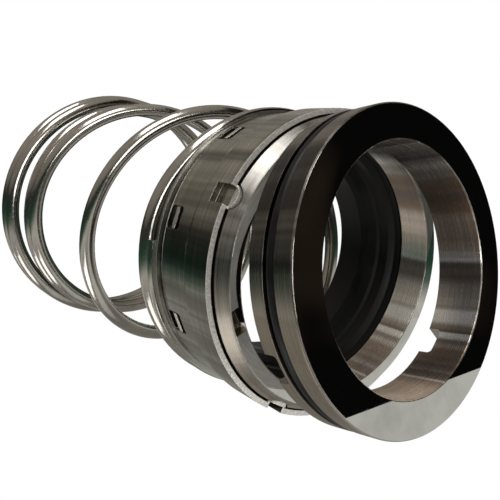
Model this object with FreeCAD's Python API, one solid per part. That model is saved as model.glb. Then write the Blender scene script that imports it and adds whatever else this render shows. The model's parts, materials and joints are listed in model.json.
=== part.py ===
"""Component mechanical seal for a 63.5 mm shaft.

A rotating head (lapped ring, pressed shell, rubber bellows, drive band, disc and one big coil spring)
and the stationary seat ring that it runs against, laid out on a table as a pair.
The shaft axis of the head is the X axis, and +X points out of the sealing face.
The origin is on that axis, at the tail end of the bellows. Lengths are in millimetres.
"""
import FreeCAD
import Part
import math
import os

# Shaft and head
SHAFT_R = 31.75
FACE_X = 34.0
SLIDE_GAP = 0.3
SEAT_GAP = 0.3

# Primary ring: the lapped nose that turns with the shaft
RING_BORE_GAP = 4.6
RING_FACE_WIDTH = 3.7
RING_BODY_WALL = 5.95
RING_LENGTH = 11.0
NOSE_CONE_LENGTH = 3.4
FACE_CHAMFER = 0.35

# Retainer: a shell pressed from stainless sheet
SHEET = 1.5
RING_ROOM = 0.6
RIM_BACK = 4.0
FRONT_LENGTH = 10.0
STEP_LENGTH = 2.6
STEP_DROP = 1.2
SHELL_LENGTH = 26.4
SHELL_CORNER_R = 1.9
SHELL_LIP = 4.6

# Drive dents: tongues pressed in from the rim, one in each notch of the ring
DENT_COUNT = 4
DENT_ANGLE = 78.5
DENT_WIDTH = 5.4
DENT_WALL = 1.0
DENT_DEPTH = 2.0
DENT_LENGTH = 6.2
DENT_NOSE = 2.0
DENT_GAP = 0.45

# Windows in the shell and the tabs of the drive band that stand in them
WINDOW_COUNT = 9
WINDOW_ANGLE = 49.9
WINDOW_LENGTH = 6.2
WINDOW_WIDTH = 6.6
WINDOW_BACK = 0.1
WINDOW_CORNER_R = 0.7
TAB_SIDE_GAP = 0.3
TAB_REST = 2.9

# Drive band: the inner sleeve that grips the tail of the bellows
BAND_SHEET = 1.4
BAND_BACK = 0.5
BAND_COLLAR_R = 2.2

# Bellows: moulded rubber, sealed to the ring in front and to the shaft at its tail
TAIL_WALL = 2.9
TAIL_LENGTH = 9.5
FLANGE_INSET = 1.1
FLANGE_THICK = 3.2
FOLD_PAST_BORE = 0.25
FOLD_STEP = 1.7
FOLD_WALL = 2.4
LEAD_IN = 0.8

# Disc: the washer that spreads the spring's push over the shell
DISC_THICK = 1.1
DISC_OVERHANG = 0.8
DISC_WIDTH = 5.1

# Spring: round wire, closed and ground at both ends
WIRE_R = 2.55
COIL_INSET = 0.9
MIDDLE_GROWTH = 1.9
REAR_GROWTH = 3.0
CLOSED_PITCH = 5.5
OPEN_PITCH = 53.5
TIP_ANGLE = 100.0
STEP_BACK_START = 0.86
STEP_BACK_END = 0.96
FRONT_CLOSED_TURNS = 1.3
OPEN_TURNS = 1.7
REAR_CLOSED_TURNS = 3.4
REAR_GROWTH_START = 4.0
GROUND_SHARE = 0.5
ARCS_PER_TURN = 12

# Seat: the stationary mating ring with its static seal
SEAT_BORE_GAP = 1.5
SEAT_WALL = 9.75
SEAT_THICK = 14.6
SEAT_CHAMFER = 0.35
SEAT_BORE_CHAMFER = 0.3
GROOVE_FROM_FACE = 5.7
O_RING_WIDTH = 3.9
O_RING_SINK = 0.1
GROOVE_SIDE_GAP = 0.05
NOTCH_WIDTH = 8.4
NOTCH_DEPTH = 4.0
NOTCH_CORNER_R = 1.2
NOTCH_ANGLES = (-120.5, 135.0)

# How the seat stands beside the head
SEAT_TURN = 10.0
SEAT_ASIDE = 1.6

X_AXIS = FreeCAD.Vector(1, 0, 0)
ORIGIN = FreeCAD.Vector(0, 0, 0)

# Radii that follow from the shaft, from the inside out
RING_BORE_R = SHAFT_R + RING_BORE_GAP
RING_FACE_R = RING_BORE_R + RING_FACE_WIDTH
RING_BODY_R = RING_BORE_R + RING_BODY_WALL
RIM_R = RING_BODY_R + RING_ROOM + SHEET
REAR_SHELL_R = RIM_R - STEP_DROP
SHELL_MOUTH_R = REAR_SHELL_R - SHELL_LIP
DISC_R = REAR_SHELL_R + DISC_OVERHANG
DISC_BORE_R = DISC_R - DISC_WIDTH
FRONT_COIL_R = REAR_SHELL_R - COIL_INSET
MIDDLE_COIL_R = FRONT_COIL_R + MIDDLE_GROWTH
REAR_COIL_R = MIDDLE_COIL_R + REAR_GROWTH
FLANGE_R = RING_BODY_R - FLANGE_INSET
FOLD_R = RING_BORE_R + FOLD_PAST_BORE
FOLD_STEP_R = FOLD_R - FOLD_STEP
SEAT_BORE_R = SHAFT_R + SEAT_BORE_GAP
SEAT_R = SEAT_BORE_R + SEAT_WALL

# Places along the axis that several pieces share
RIM_X = FACE_X - RIM_BACK
SHELL_BACK_X = RIM_X - SHELL_LENGTH
DISC_BACK_X = SHELL_BACK_X - DISC_THICK
RING_BACK_X = FACE_X - RING_LENGTH
WINDOW_BACK_X = SHELL_BACK_X + SHELL_CORNER_R + WINDOW_BACK
WINDOW_FRONT_X = WINDOW_BACK_X + WINDOW_LENGTH
TAB_BACK_X = WINDOW_BACK_X + TAB_REST
TAIL_R = SHAFT_R + TAIL_WALL
BAND_BORE_R = TAIL_R + SLIDE_GAP
FLOOR_Z = -RIM_R


def vec(x, y, z):
    """A point or direction."""
    return FreeCAD.Vector(x, y, z)


def turned(profile):
    """Turns a closed outline of (place along the axis, radius) points into a solid of revolution."""
    points = [vec(x, 0, r) for x, r in profile]
    points.append(points[0])
    face = Part.Face(Part.makePolygon(points))
    return face.revolve(ORIGIN, X_AXIS, 360)


def around(shape, angle):
    """A copy of a shape, turned about the axis from +Y towards +Z."""
    copy = shape.copy()
    copy.rotate(ORIGIN, X_AXIS, angle)
    return copy


def spread(shape, count, first_angle):
    """Equally spaced copies of a shape round the axis."""
    return [around(shape, first_angle + 360.0 * k / count) for k in range(count)]


def tongue(back_x, tip_x, width, low_r, high_r):
    """A block with a half-round front end, lying across +Y between two radii."""
    half = width / 2.0
    round_x = tip_x - half
    back_low = vec(back_x, low_r, -half)
    front_low = vec(round_x, low_r, -half)
    front_high = vec(round_x, low_r, half)
    back_high = vec(back_x, low_r, half)
    edges = [
        Part.makeLine(back_low, front_low),
        Part.Arc(front_low, vec(tip_x, low_r, 0), front_high).toShape(),
        Part.makeLine(front_high, back_high),
        Part.makeLine(back_high, back_low),
    ]
    return Part.Face(Part.Wire(edges)).extrude(vec(0, high_r - low_r, 0))


def radial_slot(back_x, front_x, width, low_r, high_r, corner_r):
    """A block with rounded corners that cuts a rectangular window across +Y."""
    block = Part.makeBox(front_x - back_x, high_r - low_r, width, vec(back_x, low_r, -width / 2.0))
    upright = [e for e in block.Edges if abs(e.tangentAt(e.FirstParameter).y) > 0.99]
    return block.makeFillet(corner_r, upright)


def make_primary_ring():
    """Ring with a lapped face, a coned nose and one half-round notch for each dent."""
    cone_x = FACE_X - NOSE_CONE_LENGTH
    ring = turned([
        (RING_BACK_X, RING_BORE_R + LEAD_IN),
        (RING_BACK_X, RING_BODY_R - LEAD_IN),
        (RING_BACK_X + LEAD_IN, RING_BODY_R),
        (cone_x, RING_BODY_R),
        (FACE_X - FACE_CHAMFER, RING_FACE_R + FACE_CHAMFER),
        (FACE_X, RING_FACE_R),
        (FACE_X, RING_BORE_R + FACE_CHAMFER),
        (FACE_X - FACE_CHAMFER, RING_BORE_R),
        (RING_BACK_X + LEAD_IN, RING_BORE_R),
    ])
    notch_tip = RIM_X + DENT_NOSE + DENT_GAP
    notch_width = DENT_WIDTH + 2.0 * (DENT_WALL + DENT_GAP)
    notch_floor = RIM_R - DENT_DEPTH - SHEET - DENT_GAP
    notch = tongue(RING_BACK_X - LEAD_IN, notch_tip, notch_width, notch_floor, RIM_R)
    return ring.cut(spread(notch, DENT_COUNT, DENT_ANGLE))


def shell_profile(sheet):
    """Outside of the pressed shell, or its inside when a sheet thickness is taken off."""
    step_x = RIM_X - FRONT_LENGTH
    rear_r = REAR_SHELL_R - sheet
    corner_r = SHELL_CORNER_R - sheet
    back_x = SHELL_BACK_X + sheet
    front_x = RIM_X + (SHEET if sheet else 0.0)
    bend = corner_r * (1.0 - math.sqrt(0.5))
    outline = [
        Part.makeLine(vec(front_x, 0, 0), vec(front_x, 0, RIM_R - sheet)),
        Part.makeLine(vec(front_x, 0, RIM_R - sheet), vec(step_x, 0, RIM_R - sheet)),
        Part.makeLine(vec(step_x, 0, RIM_R - sheet), vec(step_x - STEP_LENGTH, 0, rear_r)),
        Part.makeLine(vec(step_x - STEP_LENGTH, 0, rear_r), vec(back_x + corner_r, 0, rear_r)),
        Part.Arc(
            vec(back_x + corner_r, 0, rear_r),
            vec(back_x + bend, 0, rear_r - bend),
            vec(back_x, 0, rear_r - corner_r),
        ).toShape(),
        Part.makeLine(vec(back_x, 0, rear_r - corner_r), vec(back_x, 0, 0)),
        Part.makeLine(vec(back_x, 0, 0), vec(front_x, 0, 0)),
    ]
    return Part.Face(Part.Wire(outline)).revolve(ORIGIN, X_AXIS, 360)


def make_retainer():
    """Pressed shell: open rim, shoulder, rear flange, drive dents and windows."""
    dent_outer_r = RIM_R - DENT_DEPTH
    dent_inner_r = dent_outer_r - SHEET
    dent_back = RIM_X - DENT_LENGTH
    tip_x = RIM_X + DENT_NOSE
    wide = DENT_WIDTH + 2.0 * DENT_WALL
    pocket = tongue(dent_back, tip_x + SHEET, DENT_WIDTH, dent_outer_r, RIM_R + SHEET)
    bump = tongue(dent_back - DENT_WALL, tip_x, wide, dent_inner_r, RIM_R)
    nose = tongue(dent_back, tip_x, wide, dent_inner_r, dent_outer_r)
    outside = shell_profile(0.0).cut(spread(pocket, DENT_COUNT, DENT_ANGLE))
    inside = shell_profile(SHEET).cut(spread(bump, DENT_COUNT, DENT_ANGLE))
    shell = outside.cut(inside).fuse(spread(nose, DENT_COUNT, DENT_ANGLE))
    mouth = Part.makeCylinder(SHELL_MOUTH_R, 3.0 * SHEET, vec(SHELL_BACK_X - SHEET, 0, 0), X_AXIS)
    window = radial_slot(
        WINDOW_BACK_X, WINDOW_FRONT_X, WINDOW_WIDTH, REAR_SHELL_R - 2.0 * SHEET, RIM_R, WINDOW_CORNER_R
    )
    shell = shell.cut([mouth] + spread(window, WINDOW_COUNT, WINDOW_ANGLE))
    return shell.removeSplitter()


def make_drive_band():
    """Sleeve round the tail with a collar, whose tabs stand in the windows of the shell."""
    sleeve_r = BAND_BORE_R + BAND_SHEET
    collar_r = REAR_SHELL_R - SHEET - SLIDE_GAP
    tab_front_x = TAB_BACK_X + BAND_SHEET
    band = turned([
        (BAND_BACK, BAND_BORE_R),
        (BAND_BACK, sleeve_r),
        (TAB_BACK_X - BAND_COLLAR_R, sleeve_r),
        (TAB_BACK_X - 0.3 * BAND_COLLAR_R, sleeve_r + 0.3 * BAND_COLLAR_R),
        (TAB_BACK_X, sleeve_r + BAND_COLLAR_R),
        (TAB_BACK_X, collar_r),
        (tab_front_x, collar_r),
        (tab_front_x, BAND_BORE_R + BAND_COLLAR_R),
        (tab_front_x - 0.3 * BAND_COLLAR_R, BAND_BORE_R + 0.3 * BAND_COLLAR_R),
        (tab_front_x - BAND_COLLAR_R, BAND_BORE_R),
    ])
    tab_width = WINDOW_WIDTH - 2.0 * TAB_SIDE_GAP
    tab_root_r = collar_r - BAND_SHEET
    tab = Part.makeBox(
        BAND_SHEET, REAR_SHELL_R - tab_root_r, tab_width, vec(TAB_BACK_X, tab_root_r, -tab_width / 2.0)
    )
    return band.fuse(spread(tab, WINDOW_COUNT, WINDOW_ANGLE)).removeSplitter()


def make_bellows():
    """Moulded rubber sleeve: front flange against the ring, one fold, and the tail that grips the shaft."""
    flange_back = RING_BACK_X - FLANGE_THICK
    tail_front = TAIL_LENGTH
    fold_back = (tail_front + flange_back) / 2.0
    return turned([
        (0.0, SHAFT_R),
        (0.0, TAIL_R),
        (tail_front, TAIL_R),
        (tail_front + FOLD_WALL, TAIL_R + LEAD_IN),
        (fold_back, FOLD_STEP_R + FOLD_WALL),
        (flange_back, FOLD_R + FOLD_WALL),
        (flange_back, FLANGE_R),
        (RING_BACK_X, FLANGE_R),
        (RING_BACK_X, FOLD_R),
        (flange_back + LEAD_IN, FOLD_R),
        (flange_back, FOLD_STEP_R + LEAD_IN),
        (flange_back - LEAD_IN, FOLD_STEP_R),
        (fold_back + LEAD_IN, FOLD_STEP_R),
        (fold_back, FOLD_STEP_R - LEAD_IN),
        (tail_front + FOLD_WALL, SHAFT_R + LEAD_IN),
        (tail_front, SHAFT_R),
    ])


def make_disc():
    """Flat washer between the shell and the spring."""
    return turned([
        (DISC_BACK_X, DISC_BORE_R),
        (DISC_BACK_X, DISC_R),
        (SHELL_BACK_X, DISC_R),
        (SHELL_BACK_X, DISC_BORE_R),
    ])


def share_of(turns, start, end):
    """How much of the stretch from start to end lies behind the given number of turns, 0 to 1."""
    return min(1.0, max(0.0, (turns - start) / (end - start)))


def coil_back(turns):
    """How far behind the front tip the wire is: flat on the disc, a step back past its tip, open, closed."""
    open_end = FRONT_CLOSED_TURNS + OPEN_TURNS
    step = CLOSED_PITCH * share_of(turns, STEP_BACK_START, STEP_BACK_END)
    opening = OPEN_PITCH * OPEN_TURNS * share_of(turns, FRONT_CLOSED_TURNS, open_end)
    rear = CLOSED_PITCH * max(turns - open_end, 0.0)
    return step + opening + rear


def coil_corner(turns):
    """Corner of the polygon that the coil's arcs touch, lying on the floor like the rim."""
    middle_share = share_of(turns, FRONT_CLOSED_TURNS, FRONT_CLOSED_TURNS + 1.0)
    rear_share = share_of(turns, REAR_GROWTH_START, REAR_GROWTH_START + 1.0)
    coil_r = FRONT_COIL_R + MIDDLE_GROWTH * middle_share + REAR_GROWTH * rear_share
    corner_r = coil_r / math.cos(math.pi / ARCS_PER_TURN)
    angle = math.radians(TIP_ANGLE + 360.0 * turns)
    x = DISC_BACK_X - WIRE_R * GROUND_SHARE - coil_back(turns)
    rise = FLOOR_Z + coil_r + WIRE_R
    return vec(x, corner_r * math.cos(angle), rise + corner_r * math.sin(angle))


def bend_wire(section, start, corner, after):
    """Carries the wire's section round one corner and returns the faces, the new section and where it is."""
    back = (start - corner).normalize()
    ahead = (after - corner).normalize()
    half = min((start - corner).Length, (after - corner).Length / 2.0)
    turn = math.pi - math.acos(back.dot(ahead))
    bend_r = half / math.tan(turn / 2.0)
    centre = corner + (back + ahead).normalize() * (bend_r / math.cos(turn / 2.0))
    axis = ahead.cross(back).normalize()
    first = corner + back * half
    step = first - start
    faces = []
    if step.Length > 1e-6:
        faces.append(section.extrude(step))
        section = section.copy()
        section.translate(step)
    faces.append(section.revolve(centre, axis, math.degrees(turn)))
    section = section.copy()
    section.rotate(centre, axis, math.degrees(turn))
    return faces, section, corner + ahead * half


def make_spring():
    """One large coil of round wire, as a chain of tangent bends, with both ends ground flat."""
    all_turns = FRONT_CLOSED_TURNS + OPEN_TURNS + REAR_CLOSED_TURNS
    count = int(round(all_turns * ARCS_PER_TURN))
    corners = [coil_corner((k - 0.5) / ARCS_PER_TURN) for k in range(count + 2)]
    place = (corners[0] + corners[1]) * 0.5
    section = Part.makeCircle(WIRE_R, place, (corners[1] - corners[0]).normalize())
    faces = [Part.Face(Part.Wire([section]))]
    for corner, after in zip(corners[1:], corners[2:]):
        bend, section, place = bend_wire(section, place, corner, after)
        faces.extend(bend)
    faces.append(Part.Face(Part.Wire([section])))
    shell = Part.makeShell(faces)
    shell.sewShape()
    reach = 3.0 * REAR_COIL_R
    front_cut = Part.makeBox(reach, reach, reach, vec(DISC_BACK_X, -reach / 2.0, -reach / 2.0))
    rear_x = place.x - WIRE_R * GROUND_SHARE - reach
    rear_cut = Part.makeBox(reach, reach, reach, vec(rear_x, -reach / 2.0, -reach / 2.0))
    return Part.Solid(shell).cut([front_cut, rear_cut])


def place_seat(shape):
    """Stands the seat on its rim beside the head, turned a little so that it leans on the ring."""
    turn = math.radians(SEAT_TURN)
    back_x = FACE_X + (RING_FACE_R - SEAT_ASIDE) * math.tan(turn) + SEAT_GAP
    placed = shape.copy()
    placed.rotate(ORIGIN, vec(0, 0, 1), SEAT_TURN)
    placed.translate(vec(back_x, SEAT_ASIDE, FLOOR_Z + SEAT_R))
    return placed


def make_seat_ring():
    """Mating ring: lapped front face, groove for the static seal, and notches for the anti-rotation pins."""
    groove_front = SEAT_THICK - GROOVE_FROM_FACE
    groove_back = groove_front - O_RING_WIDTH - 2.0 * GROOVE_SIDE_GAP
    groove_r = SEAT_R - O_RING_SINK - O_RING_WIDTH
    ring = turned([
        (0.0, SEAT_BORE_R + SEAT_BORE_CHAMFER),
        (0.0, SEAT_R - SEAT_CHAMFER),
        (SEAT_CHAMFER, SEAT_R),
        (groove_back, SEAT_R),
        (groove_back, groove_r),
        (groove_front, groove_r),
        (groove_front, SEAT_R),
        (SEAT_THICK - SEAT_CHAMFER, SEAT_R),
        (SEAT_THICK, SEAT_R - SEAT_CHAMFER),
        (SEAT_THICK, SEAT_BORE_R + SEAT_BORE_CHAMFER),
        (SEAT_THICK - SEAT_BORE_CHAMFER, SEAT_BORE_R),
        (SEAT_BORE_CHAMFER, SEAT_BORE_R),
    ])
    low_r = SEAT_BORE_R - NOTCH_DEPTH
    length = 2.0 * NOTCH_DEPTH
    block = Part.makeBox(length, SEAT_R - low_r + 2.0, NOTCH_WIDTH, vec(-NOTCH_DEPTH, low_r, -NOTCH_WIDTH / 2.0))
    corners = [e for e in block.Edges if abs(e.tangentAt(e.FirstParameter).y) > 0.99 and e.BoundBox.XMin > 0]
    notch = block.makeFillet(NOTCH_CORNER_R, corners)
    return ring.cut([around(notch, angle) for angle in NOTCH_ANGLES])


def make_seat_o_ring():
    """Static seal of the seat, lying in its groove a little below the rim."""
    section_r = O_RING_WIDTH / 2.0
    centre_x = SEAT_THICK - GROOVE_FROM_FACE - GROOVE_SIDE_GAP - section_r
    centre_r = SEAT_R - O_RING_SINK - section_r
    return Part.makeTorus(centre_r, section_r, vec(centre_x, 0, 0), X_AXIS)


def main():
    """Writes one STEP file for each piece."""
    os.makedirs("parts", exist_ok=True)
    pieces = {
        "primary_ring": make_primary_ring(),
        "retainer": make_retainer(),
        "drive_band": make_drive_band(),
        "bellows": make_bellows(),
        "disc": make_disc(),
        "spring": make_spring(),
        "seat_ring": place_seat(make_seat_ring()),
        "seat_o_ring": place_seat(make_seat_o_ring()),
    }
    for name, shape in pieces.items():
        shape.exportStep("parts/" + name + ".step")
        print(name, "solids", len(shape.Solids), "valid", shape.isValid(), "volume", round(shape.Volume, 1))


main()
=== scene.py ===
"""Component mechanical seal: looks, light and camera. Lengths are in metres, in the row frame."""
import json
import math

import bpy
from mathutils import Euler, Matrix, Vector


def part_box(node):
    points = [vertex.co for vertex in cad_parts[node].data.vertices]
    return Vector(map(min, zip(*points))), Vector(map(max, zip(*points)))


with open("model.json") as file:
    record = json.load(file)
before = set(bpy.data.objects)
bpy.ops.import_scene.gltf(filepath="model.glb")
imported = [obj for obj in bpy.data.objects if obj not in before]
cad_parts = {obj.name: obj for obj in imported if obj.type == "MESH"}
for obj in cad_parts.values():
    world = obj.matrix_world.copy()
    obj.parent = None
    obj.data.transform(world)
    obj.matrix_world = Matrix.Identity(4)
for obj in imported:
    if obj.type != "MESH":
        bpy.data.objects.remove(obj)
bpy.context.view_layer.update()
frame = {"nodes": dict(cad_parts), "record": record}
nodes = frame["nodes"]
mounts = {mount["name"]: mount for mount in frame["record"]["mounts"]}
MM = 0.001

# Places on the head, whose axis is X
RING_BORE_GAP = 4.6 * MM
RIM_BACK = 4.0 * MM
FLOOR_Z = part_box("retainer")[0].z
RING_FACE_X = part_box("primary_ring")[1].x
RIM_X = RING_FACE_X - RIM_BACK
RING_BORE_R = mounts["shaft_bore"]["dims"]["r_mm"] * MM + RING_BORE_GAP

# Places on the seat, which has its own axis, turned about Z
SEAT_AXIS = Vector(mounts["seat_bore"]["axis"])
SEAT_MIDDLE = Vector(mounts["seat_bore"]["pos_m"])
SEAT_FACE = Vector(mounts["seat_face"]["pos_m"])
SEAT_TURN = math.atan2(SEAT_AXIS.y, SEAT_AXIS.x)
SEAT_THICK = 2.0 * (SEAT_FACE - SEAT_MIDDLE).dot(SEAT_AXIS)
SEAT_BACK = SEAT_MIDDLE - SEAT_AXIS * SEAT_THICK / 2.0
SEAT_BORE_R = mounts["seat_bore"]["dims"]["r_mm"] * MM

# How far past its surface a finish reaches, where it is told by its place
FACE_ROOM = 0.04 * MM
RIM_ROOM = 0.06 * MM
BORE_ROOM = 0.2 * MM

# Depth of fine relief, and radius by which sharp edges are rounded for the light
MARK_DEPTH = 0.004 * MM
TORN_DEPTH = 0.08 * MM
GRAIN_DEPTH = 0.01 * MM
WIRE_MARK_DEPTH = 0.003 * MM
EDGE_R = 0.25 * MM

# Where the noise of the strips round the axis is read: painted shade on the outside of ring and seat, painted
# dark reflection on the shell and in the bores, and painted glints and brown patches in the bores. Another
# number moves the strips round the axis
SHELL_STRIPS = 9.5
RING_STRIPS = 7.0
SEAT_STRIPS = 5.0
BORE_STRIPS = 7.0
# Painted glints in the bores, then brown patches in the bores
BORE_GLINTS = 8.0
BORE_BROWN_PATCHES = 12.0

# Ranges of noise that are spread over a whole range of tones: the narrow one gives crisp marks
CRISP = (0.35, 0.65)
SOFT = (0.3, 0.7)

# Tones that more than one piece shares, or that lie over a piece's own tones
TORN_DARK, TORN_BRIGHT = (0.66, 0.63, 0.58), (0.98, 0.95, 0.90)
# Painted brown reflection at the bottom of the bores
BROWN_REFLECTION_DARK, BROWN_REFLECTION_BRIGHT = (0.52, 0.39, 0.28), (0.78, 0.60, 0.45)
# Painted reflection that makes the low side of ring and seat paler
LOW_REFLECTION_DARK, LOW_REFLECTION_BRIGHT = (0.30, 0.26, 0.21), (0.46, 0.40, 0.33)
# Brown patches in strips round the bores
BROWN_PATCH = (0.42, 0.27, 0.17)
# Painted glint: the near-white of narrow bright streaks in the bores
PAINTED_GLINT = (0.90, 0.88, 0.84)
# The seat's back: a ground finish, painted lighter to stand in for the light falling on it
GROUND_BACK_PAINTED_LIT = (0.80, 0.79, 0.77)
MIRROR_FILM = (0.62, 0.61, 0.58)
RUBBER_BLACK, RUBBER_BLOOM = (0.003, 0.003, 0.0034), (0.009, 0.009, 0.0095)
WIRE_BRIGHT, WIRE_CLOUD = (0.52, 0.495, 0.455), (0.38, 0.36, 0.33)


def times(share, tone):
    """A darker or brighter tone."""
    return tuple(share * c for c in tone)


class Nodes:
    """Makes the nodes of one material, or of the world."""

    def __init__(self, owner):
        owner.use_nodes = True
        self.owner = owner
        self.tree = owner.node_tree
        self.tree.nodes.clear()

    def link(self, value, socket):
        """Links a socket, or sets a number, a vector or a colour."""
        if isinstance(value, bpy.types.NodeSocket):
            self.tree.links.new(value, socket)
        elif socket.type == "RGBA":
            socket.default_value = (*value, 1.0)
        else:
            socket.default_value = value

    def add(self, kind, inputs, **settings):
        """New node with these settings and inputs."""
        node = self.tree.nodes.new("ShaderNode" + kind)
        for name, value in settings.items():
            setattr(node, name, value)
        for key, value in inputs.items():
            self.link(value, node.inputs[key])
        return node

    def output(self, shader):
        """Shows a shader on the material, or in the world."""
        kind = "OutputWorld" if isinstance(self.owner, bpy.types.World) else "OutputMaterial"
        self.add(kind, {0: shader})

    def object_place(self):
        """Place in the row frame."""
        return self.add("TexCoord", {}).outputs["Object"]

    def math(self, operation, *values):
        """Sum, product or other operation on numbers."""
        return self.add("Math", dict(enumerate(values)), operation=operation).outputs[0]

    def noise(self, vector, scale, detail=3.0, rough=0.5):
        """Noise in space."""
        inputs = {"Vector": vector, "Scale": scale, "Detail": detail, "Roughness": rough}
        return self.add("TexNoise", inputs).outputs[0]

    def ramp(self, value, low, high, out_low=0.0, out_high=1.0, smooth=False):
        """Spreads the range from low to high over the range from out_low to out_high."""
        inputs = {0: value, 1: low, 2: high, 3: out_low, 4: out_high}
        kind = "SMOOTHSTEP" if smooth else "LINEAR"
        return self.add("MapRange", inputs, interpolation_type=kind).outputs[0]

    def mix(self, share, a, b):
        """Mix of two colours."""
        return self.add("Mix", {0: share, 6: a, 7: b}, data_type="RGBA").outputs[2]

    def blend(self, share, a, b):
        """Mix of two numbers."""
        return self.add("Mix", {0: share, 2: a, 3: b}).outputs[0]

    def choose(self, share, a, b):
        """Mix of two shaders."""
        return self.add("MixShader", {0: share, 1: a, 2: b}).outputs[0]

    def glow(self, tone):
        """A surface that shows a plain tone."""
        return self.add("Emission", {0: tone}).outputs[0]


class RoundMaterial(Nodes):
    """A material laid out round an axis: x runs along it, and side and top say where round it a point is."""

    def __init__(self, name, origin=(0, 0, 0), turn=0.0):
        super().__init__(bpy.data.materials.new(name))
        self.shader = self.add("BsdfPrincipled", {})
        self.output(self.shader.outputs[0])
        inputs = {"Vector": self.object_place(), "Location": origin, "Rotation": (0, 0, turn)}
        self.place = self.add("Mapping", inputs, vector_type="TEXTURE").outputs[0]
        self.x, y, z = self.add("SeparateXYZ", {0: self.place}).outputs
        squares = self.math("ADD", self.math("MULTIPLY", y, y), self.math("MULTIPLY", z, z))
        self.radius = self.math("SQRT", squares)
        self.side = self.math("DIVIDE", y, self.radius)
        self.top = self.math("DIVIDE", z, self.radius)

    def round_marks(self, lines, sweep, rough):
        """Marks that run round the axis: fine along x and the radius, and long round the circle."""
        inputs = {
            0: self.math("MULTIPLY", self.side, sweep),
            1: self.math("MULTIPLY", self.top, sweep),
            2: self.math("MULTIPLY", self.x, lines),
        }
        vector = self.add("CombineXYZ", inputs).outputs[0]
        w = self.math("MULTIPLY", self.radius, lines)
        inputs = {"Vector": vector, "W": w, "Scale": 1.0, "Detail": 2.0, "Roughness": rough}
        return self.add("TexNoise", inputs, noise_dimensions="4D").outputs[0]

    def strips(self, scale, at, low=0.36, high=0.64):
        """Share of 0 to 1 that changes only round the axis; it places strips of painted shade, painted
        reflection and painted glints, and brown patches.
        """
        vector = self.add("CombineXYZ", {0: self.side, 1: self.top, 2: at}).outputs[0]
        return self.ramp(self.noise(vector, scale, rough=0.6), low, high, smooth=True)

    def low_side(self, start, full):
        """Share of 0 to 1 that grows towards the side that the picture shows lowest."""
        return self.ramp(self.side, start, full, smooth=True)

    def set(self, **values):
        """Sets inputs of the shader by their names."""
        for name, value in values.items():
            self.link(value, self.shader.inputs[name.replace("_", " ")])

    def brushed(self, amount):
        """Draws the shine out across marks that run round the axis."""
        tangent = self.add("Tangent", {}, direction_type="RADIAL", axis="X").outputs[0]
        self.set(Anisotropic=amount, Tangent=tangent)

    def relief(self, height, depth, strength=1.0):
        """Fine relief, with sharp edges rounded for the light."""
        edge = self.add("Bevel", {"Radius": EDGE_R}, samples=4).outputs[0]
        inputs = {"Distance": depth, "Strength": strength, "Height": height, "Normal": edge}
        self.set(Normal=self.add("Bump", inputs).outputs[0])


# Materials of the part
def turned_steel(name, base, dark, rough, aniso=0.6, lines=9000.0):
    """Steel with fine marks round the axis. Gives the material, its marks, colour and roughness."""
    steel = RoundMaterial(name)
    fine = steel.round_marks(lines, sweep=1.2, rough=0.6)
    broad = steel.round_marks(lines * 0.12, sweep=0.8, rough=0.5)
    cloud = steel.noise(steel.place, scale=90.0, rough=0.55)
    marks = steel.math("ADD", steel.math("MULTIPLY", fine, 0.5), steel.math("MULTIPLY", broad, 0.5))
    colour = steel.mix(steel.ramp(marks, *CRISP), dark, base)
    clouding = steel.ramp(cloud, *SOFT, -0.03, 0.04)
    roughness = steel.math("ADD", steel.ramp(fine, *SOFT, *rough), clouding)
    steel.set(Metallic=1.0)
    steel.brushed(aniso)
    return steel, marks, colour, roughness


def sheet_steel(name, base, dark, rough, aniso=0.6):
    """Plain sheet."""
    steel, marks, colour, roughness = turned_steel(name, base, dark, rough, aniso)
    steel.set(Base_Color=colour, Roughness=roughness)
    steel.relief(marks, MARK_DEPTH)
    return steel


def shell_steel(name, base, dark, rough):
    """Pressed sheet with darker strips of painted reflection round the axis, and with a torn, bright edge at
    the rim.
    """
    steel, marks, colour, roughness = turned_steel(name, base, dark, rough, lines=6000.0)
    # Painted dark reflection: darker strips round the axis
    painted_dark_reflection = steel.math("MULTIPLY", steel.strips(5.0, SHELL_STRIPS), 0.85)
    colour = steel.mix(painted_dark_reflection, colour, times(0.22, dark))
    edge = steel.math("GREATER_THAN", steel.x, RIM_X - RIM_ROOM)
    torn = steel.noise(steel.place, scale=1500.0, rough=0.7)
    colour = steel.mix(edge, colour, steel.mix(steel.ramp(torn, *CRISP), TORN_DARK, TORN_BRIGHT))
    steel.set(Base_Color=colour, Roughness=steel.blend(edge, roughness, 0.55))
    shallow = steel.math("MULTIPLY", marks, MARK_DEPTH / TORN_DEPTH)
    steel.relief(steel.blend(edge, shallow, torn), TORN_DEPTH)
    return steel


def bore_colour(steel, marks, base, dark, painted_brown_reflection):
    """The bore's steel, painted brighter for the light that bounces in the bore, with painted dark reflection
    in strips, brown patches, painted glints and a painted brown reflection on the low side.
    """
    # Painted light: the bore is painted brighter than the outside, for the light that bounces in the bore
    colour = steel.mix(marks, times(2.1, dark), times(2.5, base))
    # Painted dark reflection in strips round the axis
    colour = steel.mix(steel.strips(4.0, BORE_STRIPS), colour, times(0.8, dark))
    # Brown patches in strips round the axis
    brown_patches = steel.math("MULTIPLY", steel.strips(2.5, BORE_BROWN_PATCHES), 0.45)
    colour = steel.mix(brown_patches, colour, BROWN_PATCH)
    # Painted glints: narrow near-white strips round the axis
    colour = steel.mix(steel.strips(5.0, BORE_GLINTS, 0.57, 0.66), colour, PAINTED_GLINT)
    # Painted brown reflection on the low side of the bore
    return steel.mix(painted_brown_reflection, colour, steel.mix(marks, BROWN_REFLECTION_DARK, BROWN_REFLECTION_BRIGHT))


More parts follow.
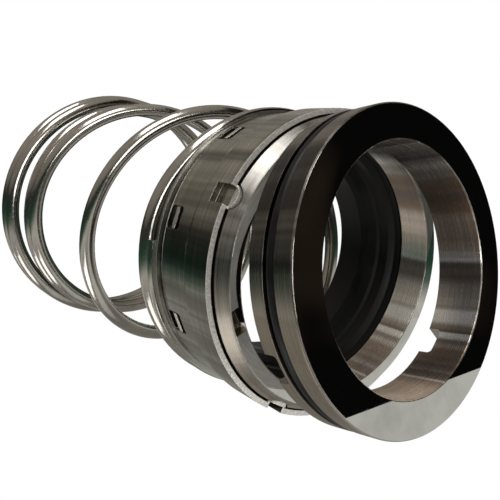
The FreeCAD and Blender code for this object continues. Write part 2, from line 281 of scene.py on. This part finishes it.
def outside_colour(steel, marks, base, dark, painted_light_share, strips_at):
    """Painted shade in darker strips round the axis, and a painted reflection that makes the low side paler.
    """
    # Painted shade: darker strips round the axis
    strips = steel.math("MULTIPLY", steel.strips(3.5, strips_at, 0.42, 0.58), painted_light_share)
    colour = steel.mix(strips, steel.mix(marks, dark, base), times(0.2, dark))
    # Painted reflection: the low side is paler
    painted_low_reflection = steel.math("MULTIPLY", steel.low_side(-0.15, -0.6), painted_light_share)
    return steel.mix(painted_low_reflection, colour, steel.mix(marks, LOW_REFLECTION_DARK, LOW_REFLECTION_BRIGHT))


def lapped_steel(
    name, base, dark, rough, face_x, bore_r, painted_light_share, strips_at,
    origin=(0, 0, 0), turn=0.0, ground_back_painted_lit=False,
):
    """Turned steel whose front face is lapped to a mirror, with painted light: a bore painted brighter for
    the light that bounces in it, and painted shade and reflections round the axis.
    """
    steel = RoundMaterial(name, origin, turn)
    fine = steel.round_marks(7000.0, sweep=1.2, rough=0.6)
    marks = steel.ramp(fine, *CRISP)
    smudge = steel.noise(steel.place, scale=70.0, detail=4.0, rough=0.6)
    on_face = steel.math("GREATER_THAN", steel.x, face_x - FACE_ROOM)
    in_bore = steel.math("LESS_THAN", steel.radius, bore_r + BORE_ROOM)
    # Painted brown reflection at the bottom of the bores, made less metallic there
    painted_brown_reflection = steel.math("MULTIPLY", steel.low_side(-0.76, -0.92), painted_light_share)

    outside = outside_colour(steel, marks, base, dark, painted_light_share, strips_at)
    colour = steel.mix(in_bore, outside, bore_colour(steel, marks, base, dark, painted_brown_reflection))
    metal = steel.blend(in_bore, 1.0, steel.blend(painted_brown_reflection, 0.8, 0.35))
    # The seat's back: a ground finish, painted lighter and less metallic to stand in for the light falling on
    # it
    if ground_back_painted_lit:
        on_back = steel.math("LESS_THAN", steel.x, FACE_ROOM)
        colour = steel.mix(on_back, colour, GROUND_BACK_PAINTED_LIT)
        metal = steel.blend(on_back, metal, 0.3)
    film = steel.mix(steel.ramp(smudge, 0.45, 0.7), MIRROR_FILM, times(0.82, MIRROR_FILM))
    rough_bore = steel.ramp(fine, *SOFT, 0.16, 0.30)
    rough_turned = steel.blend(in_bore, steel.ramp(fine, *SOFT, *rough), rough_bore)
    rough_face = steel.ramp(smudge, 0.45, 0.75, 0.015, 0.04)

    steel.set(Base_Color=steel.mix(on_face, colour, film), Metallic=metal)
    steel.set(Roughness=steel.blend(on_face, rough_turned, rough_face))
    steel.brushed(0.5)
    steel.relief(fine, MARK_DEPTH, steel.math("SUBTRACT", 1.0, on_face))
    return steel


def moulded_rubber(name, rough, origin=(0, 0, 0), turn=0.0):
    """Black rubber with a faint bloom."""
    rubber = RoundMaterial(name, origin, turn)
    grain = rubber.noise(rubber.place, scale=2600.0, rough=0.6)
    bloom = rubber.noise(rubber.place, scale=120.0, detail=4.0, rough=0.6)
    rubber.set(Base_Color=rubber.mix(rubber.ramp(bloom, 0.4, 0.75), RUBBER_BLACK, RUBBER_BLOOM))
    rubber.set(Roughness=rubber.ramp(bloom, 0.35, 0.7, *rough), Specular_IOR_Level=0.22)
    rubber.relief(grain, GRAIN_DEPTH)
    return rubber


def bright_wire(name, rough):
    """Drawn wire with fine marks and darker clouds."""
    wire = RoundMaterial(name)
    marks = wire.noise(wire.place, scale=900.0, rough=0.6)
    cloud = wire.noise(wire.place, scale=60.0, rough=0.6)
    wire.set(Base_Color=wire.mix(wire.ramp(cloud, 0.35, 0.7), WIRE_BRIGHT, WIRE_CLOUD))
    wire.set(Metallic=1.0, Roughness=wire.ramp(marks, *SOFT, *rough))
    wire.relief(marks, WIRE_MARK_DEPTH)
    return wire


FINISH = {
    "primary_ring": lapped_steel(
        "ring_steel", base=(0.44, 0.42, 0.39), dark=(0.28, 0.265, 0.245), rough=(0.24, 0.38),
        face_x=RING_FACE_X, bore_r=RING_BORE_R, painted_light_share=0.6, strips_at=RING_STRIPS,
    ),
    "retainer": shell_steel(
        "pressed_stainless", base=(0.60, 0.58, 0.52), dark=(0.32, 0.31, 0.265), rough=(0.12, 0.25),
    ),
    "drive_band": sheet_steel(
        "band_stainless", base=(0.78, 0.77, 0.74), dark=(0.66, 0.65, 0.62), rough=(0.16, 0.28), aniso=0.3,
    ),
    "bellows": moulded_rubber("bellows_rubber", rough=(0.38, 0.55)),
    "disc": sheet_steel(
        "disc_stainless", base=(0.50, 0.49, 0.46), dark=(0.36, 0.35, 0.33), rough=(0.22, 0.34),
    ),
    "spring": bright_wire("spring_steel", rough=(0.10, 0.20)),
    "seat_ring": lapped_steel(
        "seat_steel", base=(0.31, 0.285, 0.255), dark=(0.19, 0.172, 0.155), rough=(0.22, 0.34),
        face_x=SEAT_THICK, bore_r=SEAT_BORE_R, painted_light_share=0.85, strips_at=SEAT_STRIPS,
        origin=SEAT_BACK, turn=SEAT_TURN, ground_back_painted_lit=True,
    ),
    "seat_o_ring": moulded_rubber("seal_rubber", rough=(0.32, 0.48), origin=SEAT_BACK, turn=SEAT_TURN),
}
for name, finish in FINISH.items():
    slots = nodes[name].data.materials
    slots.clear()
    slots.append(finish.owner)


# Studio
SOFT_LIGHT = Vector((-0.032, 0.939, 0.343))

# Tones from -1, straight away from the soft light, to 1, straight towards it
STUDIO_TONES = (
    (-1.0, (0.26, 0.25, 0.23)),
    (-0.62, (0.32, 0.31, 0.28)),
    (-0.36, (0.66, 0.64, 0.60)),
    (-0.24, (0.10, 0.14, 0.11)),
    (-0.14, (0.022, 0.062, 0.040)),
    (0.12, (0.035, 0.034, 0.030)),
    (0.28, (0.26, 0.24, 0.21)),
    (0.75, (0.36, 0.33, 0.29)),
    (1.0, (0.40, 0.37, 0.33)),
)

# The floor and the cards that lie on it, each a step over the one before
FLOOR_HALF = 3.0
TONED_HALF = 2.5
CARD_STEP = 0.2 * MM
CARD_END = 1.2
DARK_START_X = 0.045
PAPER_START_X = 0.025
PAPER_EDGE_AT = (0.1155, -0.0323)
PAPER_EDGE_SLOPE = 0.288
WORLD_LIGHT = 0.35
WHITE = (1.0, 1.0, 1.0)
FLOOR_MATT = (0.85, 0.85, 0.85)
PAPER_WHITE = (0.64, 0.65, 0.62)
TABLE_BLACK, TABLE_BROWN = (0.003, 0.003, 0.003), (0.026, 0.018, 0.012)


def studio_tone(paint, direction):
    """Tone that the studio has in a direction."""
    product = paint.add("VectorMath", {0: direction, 1: SOFT_LIGHT}, operation="DOT_PRODUCT")
    curve = paint.add("ValToRGB", {0: paint.math("MULTIPLY_ADD", product.outputs["Value"], 0.5, 0.5)})
    stops = curve.color_ramp.elements
    while len(stops) < len(STUDIO_TONES):
        stops.new(0.5)
    for stop, (towards, tone) in zip(stops, STUDIO_TONES):
        stop.position = towards * 0.5 + 0.5
        stop.color = (*tone, 1)
    return curve.outputs[0]


def white_floor(name):
    """White to the camera, in mirrors and through glass, and a plain matt surface for the light."""
    paint = Nodes(bpy.data.materials.new(name))
    ray = paint.add("LightPath", {}).outputs
    mirror_or_glass = paint.math("MAXIMUM", ray["Is Glossy Ray"], ray["Is Transmission Ray"])
    seen = paint.math("MAXIMUM", ray["Is Camera Ray"], mirror_or_glass)
    matt = paint.add("BsdfDiffuse", {0: FLOOR_MATT}).outputs[0]
    paint.output(paint.choose(seen, matt, paint.glow(WHITE)))
    return paint.owner


def toned_floor(name):
    """The studio's tones on the floor, by the direction from the head's tail."""
    paint = Nodes(bpy.data.materials.new(name))
    direction = paint.add("VectorMath", {0: paint.object_place()}, operation="NORMALIZE").outputs[0]
    paint.output(paint.glow(studio_tone(paint, direction)))
    return paint.owner


def dark_table(name):
    """Nearly black, with faint brown clouds."""
    paint = Nodes(bpy.data.materials.new(name))
    noise = paint.noise(paint.object_place(), scale=14.0, detail=2.0)
    cloud = paint.ramp(noise, 0.53, 0.72)
    paint.output(paint.glow(paint.mix(cloud, TABLE_BLACK, TABLE_BROWN)))
    return paint.owner


def paper(name):
    """White paper in soft light."""
    paint = Nodes(bpy.data.materials.new(name))
    paint.output(paint.glow(PAPER_WHITE))
    return paint.owner


def plate(name, corners, height, material):
    """Flat plate of the studio, given by its corners and its height over the floor."""
    mesh = bpy.data.meshes.new(name)
    mesh.from_pydata([(x, y, FLOOR_Z + height) for x, y in corners], [], [tuple(range(len(corners)))])
    mesh.materials.append(material)
    piece = bpy.data.objects.new(name, mesh)
    bpy.context.scene.collection.objects.link(piece)
    return piece


def card(name, corners, height, material):
    """Plate that only the shine of the metal sees."""
    piece = plate(name, corners, height, material)
    piece.visible_camera = False
    piece.visible_diffuse = False
    piece.visible_shadow = False
    piece.visible_transmission = False


def square(half):
    """Corners of a square round the origin."""
    return [(-half, -half), (half, -half), (half, half), (-half, half)]


def paper_edge(x):
    """Corner on the line where the white paper ends and the dark table starts."""
    edge_x, edge_y = PAPER_EDGE_AT
    return x, edge_y + (edge_x - x) * PAPER_EDGE_SLOPE


dark_corners = [
    paper_edge(DARK_START_X), paper_edge(CARD_END), (CARD_END, CARD_END), (DARK_START_X, CARD_END),
]
paper_corners = [
    (PAPER_START_X, -CARD_END), (CARD_END, -CARD_END), paper_edge(CARD_END), paper_edge(PAPER_START_X),
]
plate("floor", square(FLOOR_HALF), -CARD_STEP, white_floor("floor"))
card("card_floor", square(TONED_HALF), CARD_STEP, toned_floor("floor_card"))
card("card_dark", dark_corners, 2 * CARD_STEP, dark_table("card_dark"))
card("card_paper", paper_corners, 3 * CARD_STEP, paper("card_paper"))


def lamp(name, place, target, size, power):
    """Soft rectangular lamp that shines at a point."""
    data = bpy.data.lights.new(name, "AREA")
    data.shape = "RECTANGLE"
    data.size, data.size_y = size
    data.energy = power
    lamp_object = bpy.data.objects.new(name, data)
    lamp_object.location = place
    lamp_object.rotation_euler = (Vector(target) - Vector(place)).to_track_quat("-Z", "Y").to_euler()
    lamp_object.visible_camera = False
    bpy.context.scene.collection.objects.link(lamp_object)


lamp("key", (0.15, 0.60, 0.45), (0, 0, 0), (0.6, 0.35), 3.0)
lamp("fill", (0.05, -0.70, 0.30), (0, 0, 0), (0.6, 0.3), 1.2)
lamp("front", (0.70, 0.05, 0.16), (0.03, 0, 0), (0.30, 0.30), 1.5)


def studio_world(name):
    """White to the camera, the studio's tones in the metal, and plain soft light on the rest."""
    studio = Nodes(bpy.data.worlds.new(name))
    ray = studio.add("LightPath", {}).outputs
    around = studio.add("TexCoord", {}).outputs["Generated"]
    soft = studio.add("Background", {0: WHITE, 1: WORLD_LIGHT}).outputs[0]
    tones = studio.add("Background", {0: studio_tone(studio, around)}).outputs[0]
    white = studio.add("Background", {0: WHITE}).outputs[0]
    lit = studio.choose(ray["Is Glossy Ray"], soft, tones)
    studio.output(studio.choose(ray["Is Camera Ray"], lit, white))
    return studio.owner


bpy.context.scene.world = studio_world("studio")

# Camera, for a picture of 500 pixels each way. Its turn is in degrees.
IMAGE = 500.0
SENSOR = 36.0
FOCAL_PIXELS = 607.91
CENTRE_PIXELS = (270.0, 190.0)
CAMERA_PLACE = (0.153586, -0.002074, 0.128105)
CAMERA_TURN = (23.60145, 47.76835, 23.44693)

camera_data = bpy.data.cameras.new("camera")
camera_data.sensor_width = SENSOR
camera_data.lens = FOCAL_PIXELS * SENSOR / IMAGE
camera_data.shift_x = 0.5 - CENTRE_PIXELS[0] / IMAGE
camera_data.shift_y = CENTRE_PIXELS[1] / IMAGE - 0.5
camera_data.clip_start = 0.01
camera_data.clip_end = 20.0
camera = bpy.data.objects.new("camera", camera_data)
bpy.context.scene.collection.objects.link(camera)
turn = Euler([math.radians(angle) for angle in CAMERA_TURN])
camera.matrix_world = Matrix.Translation(CAMERA_PLACE) @ turn.to_matrix().to_4x4()
bpy.context.scene.camera = camera
bpy.context.scene.view_settings.view_transform = "Standard"
